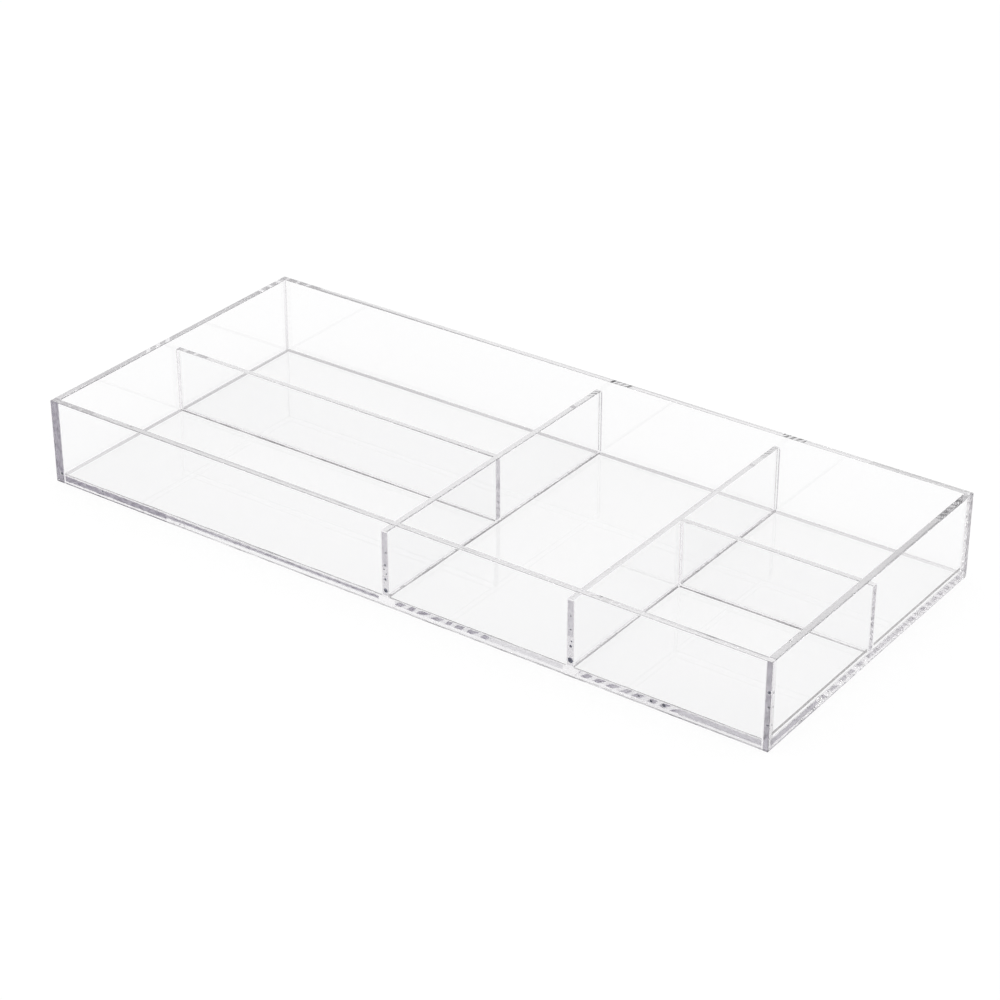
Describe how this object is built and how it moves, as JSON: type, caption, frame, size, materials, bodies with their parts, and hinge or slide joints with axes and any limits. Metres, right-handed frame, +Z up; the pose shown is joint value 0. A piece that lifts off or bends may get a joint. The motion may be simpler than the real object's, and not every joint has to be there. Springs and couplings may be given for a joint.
{
  "type": "divided tray",
  "caption": "Clear acrylic tray with low upright walls and cross and long dividers that form open bays for small items in a drawer or on a vanity top.",
  "frame": {"origin": "middle of the underside, in the plane of the surface that the tray stands on", "axes": "+X along the tray's length, towards the end with the short split bays; +Y from the front wall to the back wall; +Z up"},
  "size_m": [0.4064, 0.1778, 0.0444],
  "materials": {
    "clear_acrylic": "polished"
  },
  "bodies": {
    "root": {"base_plate": "clear_acrylic", "front_wall": "clear_acrylic", "back_wall": "clear_acrylic", "left_end_wall": "clear_acrylic", "right_end_wall": "clear_acrylic", "left_cross_divider": "clear_acrylic", "right_cross_divider": "clear_acrylic", "left_long_divider": "clear_acrylic", "right_long_divider": "clear_acrylic"}
  },
  "joints": []
}
